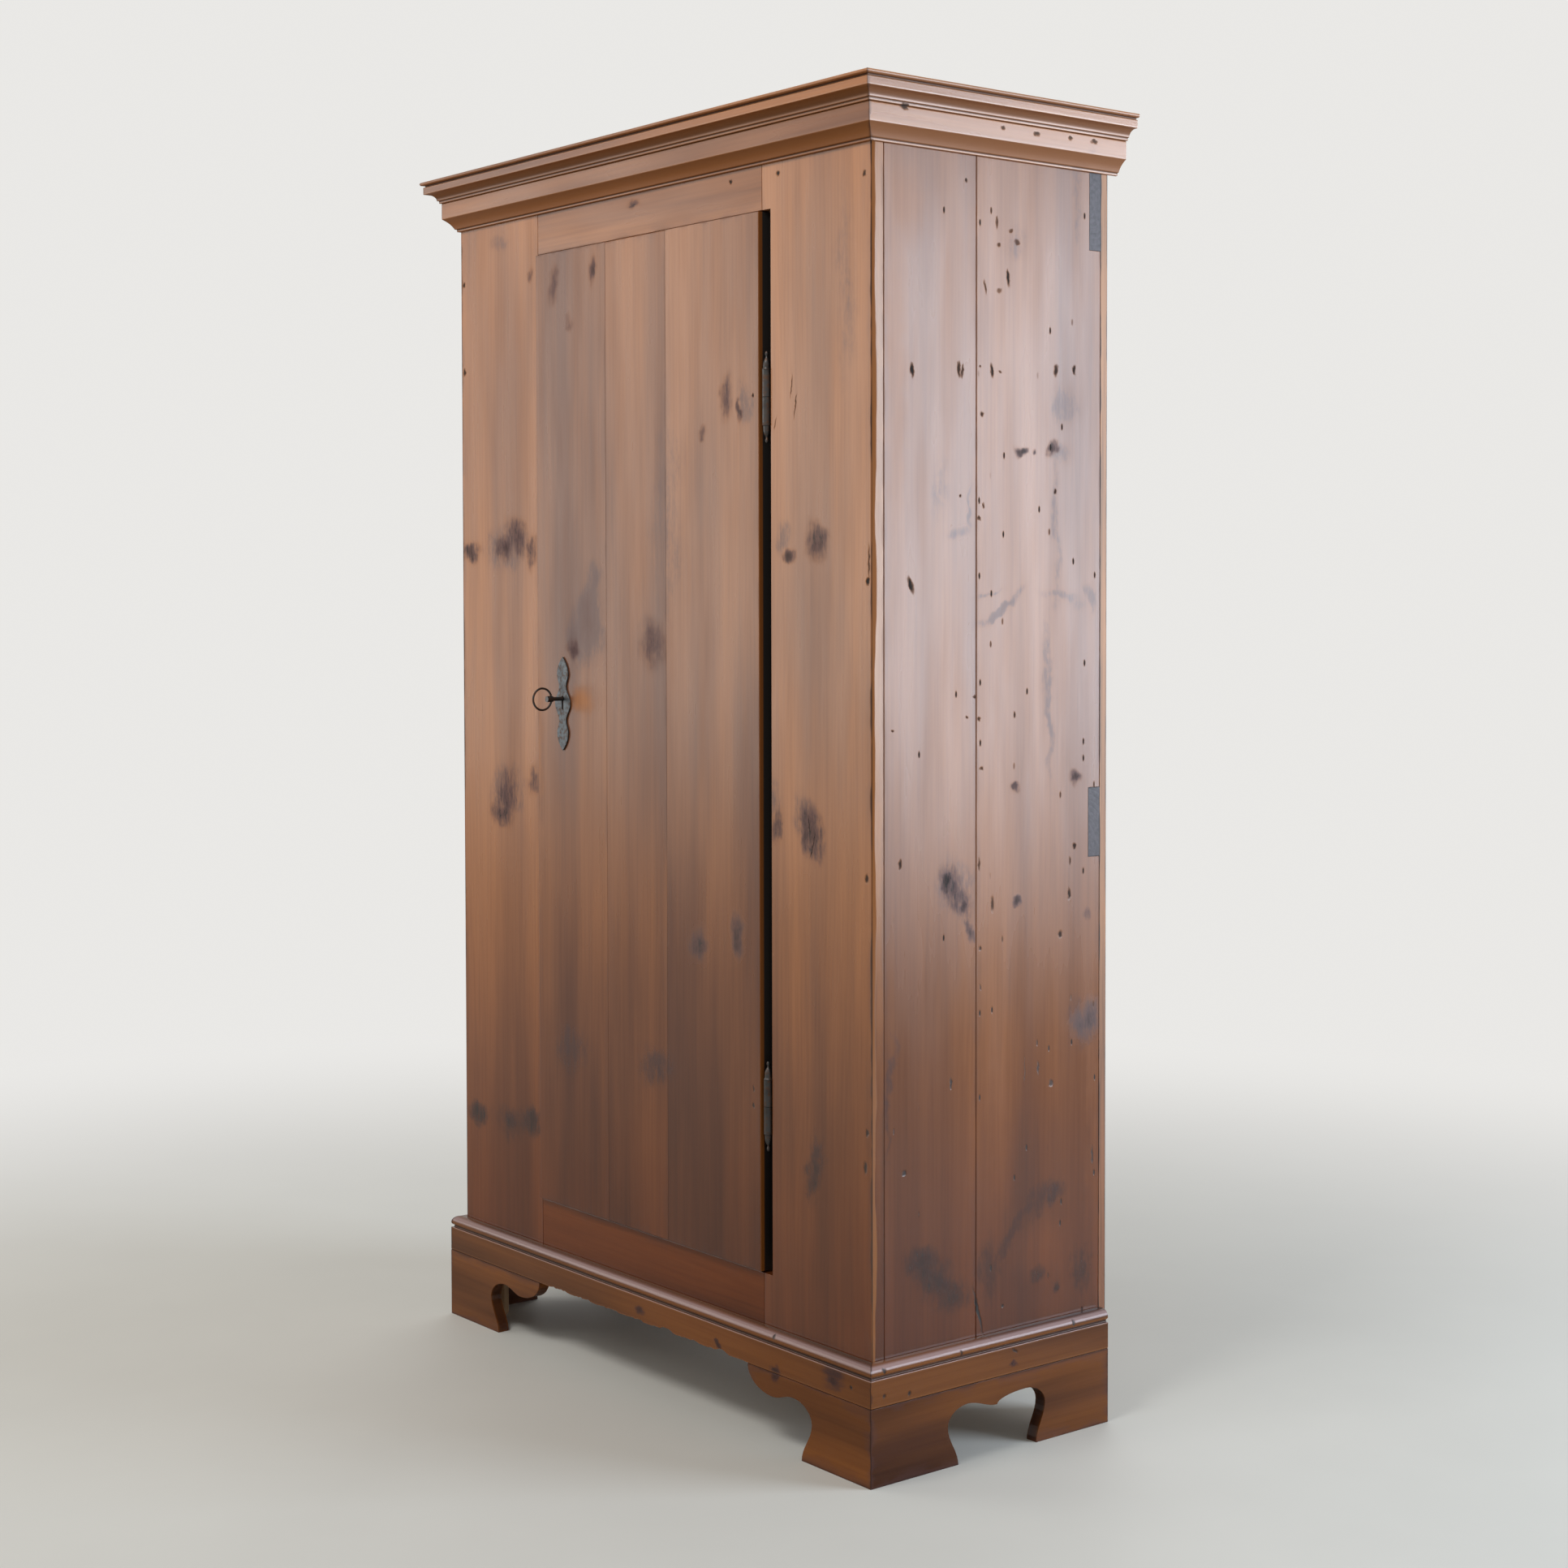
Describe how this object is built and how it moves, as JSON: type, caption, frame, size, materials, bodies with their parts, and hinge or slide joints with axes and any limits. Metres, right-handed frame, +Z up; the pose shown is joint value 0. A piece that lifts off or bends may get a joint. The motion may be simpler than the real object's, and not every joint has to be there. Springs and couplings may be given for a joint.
{
  "type": "cupboard",
  "caption": "Tall one-door pine cupboard with a moulded cornice, a rim lock with its key, shelves inside and a plinth on shaped bracket feet.",
  "frame": {"origin": "on the floor under the middle of the outer box", "axes": "+Z up, the front with the door faces -Y, +X to the right seen from the front, where the hinges are"},
  "size_m": [1.1, 0.5056, 1.812],
  "materials": {
    "pine_waxed": "stained pine under satin wax",
    "pine_plinth": "darker stained pine under satin wax",
    "pine_bare": "aged pine, unfinished and matt",
    "iron_black": "aged dark iron, dull",
    "iron_lock": "worn grey iron, dull"
  },
  "bodies": {
    "carcass": {"side_right_front_board": "pine_waxed", "side_right_rear_board": "pine_waxed", "side_left_front_board": "pine_waxed", "side_left_rear_board": "pine_waxed", "front_stile_left": "pine_waxed", "front_stile_right": "pine_waxed", "front_rail_top": "pine_waxed", "front_rail_bottom": "pine_waxed", "bottom_board": "pine_bare", "top_board_front": "pine_bare", "top_board_rear": "pine_bare", "back_rail_top": "pine_bare", "back_rail_middle": "pine_bare", "back_rail_bottom": "pine_bare", "back_board_1": "pine_bare", "back_board_2": "pine_bare", "back_board_3": "pine_bare", "back_board_4": "pine_bare", "shelf_lower": "pine_bare", "shelf_middle": "pine_bare", "shelf_upper": "pine_bare", "shelf_cleat_lower_left": "pine_bare", "shelf_cleat_lower_right": "pine_bare", "shelf_cleat_middle_left": "pine_bare", "shelf_cleat_middle_right": "pine_bare", "shelf_cleat_upper_left": "pine_bare", "shelf_cleat_upper_right": "pine_bare", "door_stop_top": "pine_bare", "hinge_upper_frame_leaf": "iron_black", "hinge_upper_pin": "iron_black", "hinge_lower_frame_leaf": "iron_black", "hinge_lower_pin": "iron_black", "cornice_crown_front": "pine_waxed", "cornice_crown_left": "pine_waxed", "cornice_crown_right": "pine_waxed", "cornice_frieze_front": "pine_waxed", "cornice_frieze_left": "pine_waxed", "cornice_frieze_right": "pine_waxed", "base_moulding_front": "pine_plinth", "base_moulding_left": "pine_plinth", "base_moulding_right": "pine_plinth", "bracket_front_left": "pine_plinth", "bracket_front_right": "pine_plinth", "side_skirt_left": "pine_plinth", "side_skirt_right": "pine_plinth", "corner_block_front_left": "pine_bare", "corner_block_front_right": "pine_bare", "corner_block_rear_left": "pine_bare", "corner_block_rear_right": "pine_bare"},
    "door": {"door_board_lock_side": "pine_waxed", "door_board_middle": "pine_waxed", "door_board_hinge_side": "pine_waxed", "door_batten_upper": "pine_bare", "door_batten_lower": "pine_bare", "lock_case": "iron_lock", "escutcheon": "iron_black", "hinge_upper_door_leaf": "iron_black", "hinge_lower_door_leaf": "iron_black"},
    "key": {"key": "iron_black"},
    "bolt": {"lock_bolt": "iron_lock"}
  },
  "joints": [
    {"name": "door_swing", "type": "hinge", "parent": "carcass", "child": "door", "pos_m": [0.28475, -0.1898, 0.9395], "axis": [0, 0, 1], "range_deg": [0, 130]},
    {"name": "key_turn", "type": "hinge", "parent": "door", "child": "key", "pos_m": [-0.2035, -0.1898, 1], "axis": [0, -1, 0], "range_deg": [0, 360]},
    {"name": "bolt_slide", "type": "slide", "parent": "door", "child": "bolt", "axis": [-1, 0, 0], "range_m": [0, 0.013]}
  ],
  "couplings": [
    {"joint": "key_turn", "follows": "bolt_slide", "rad_per_m": 483.32}
  ]
}
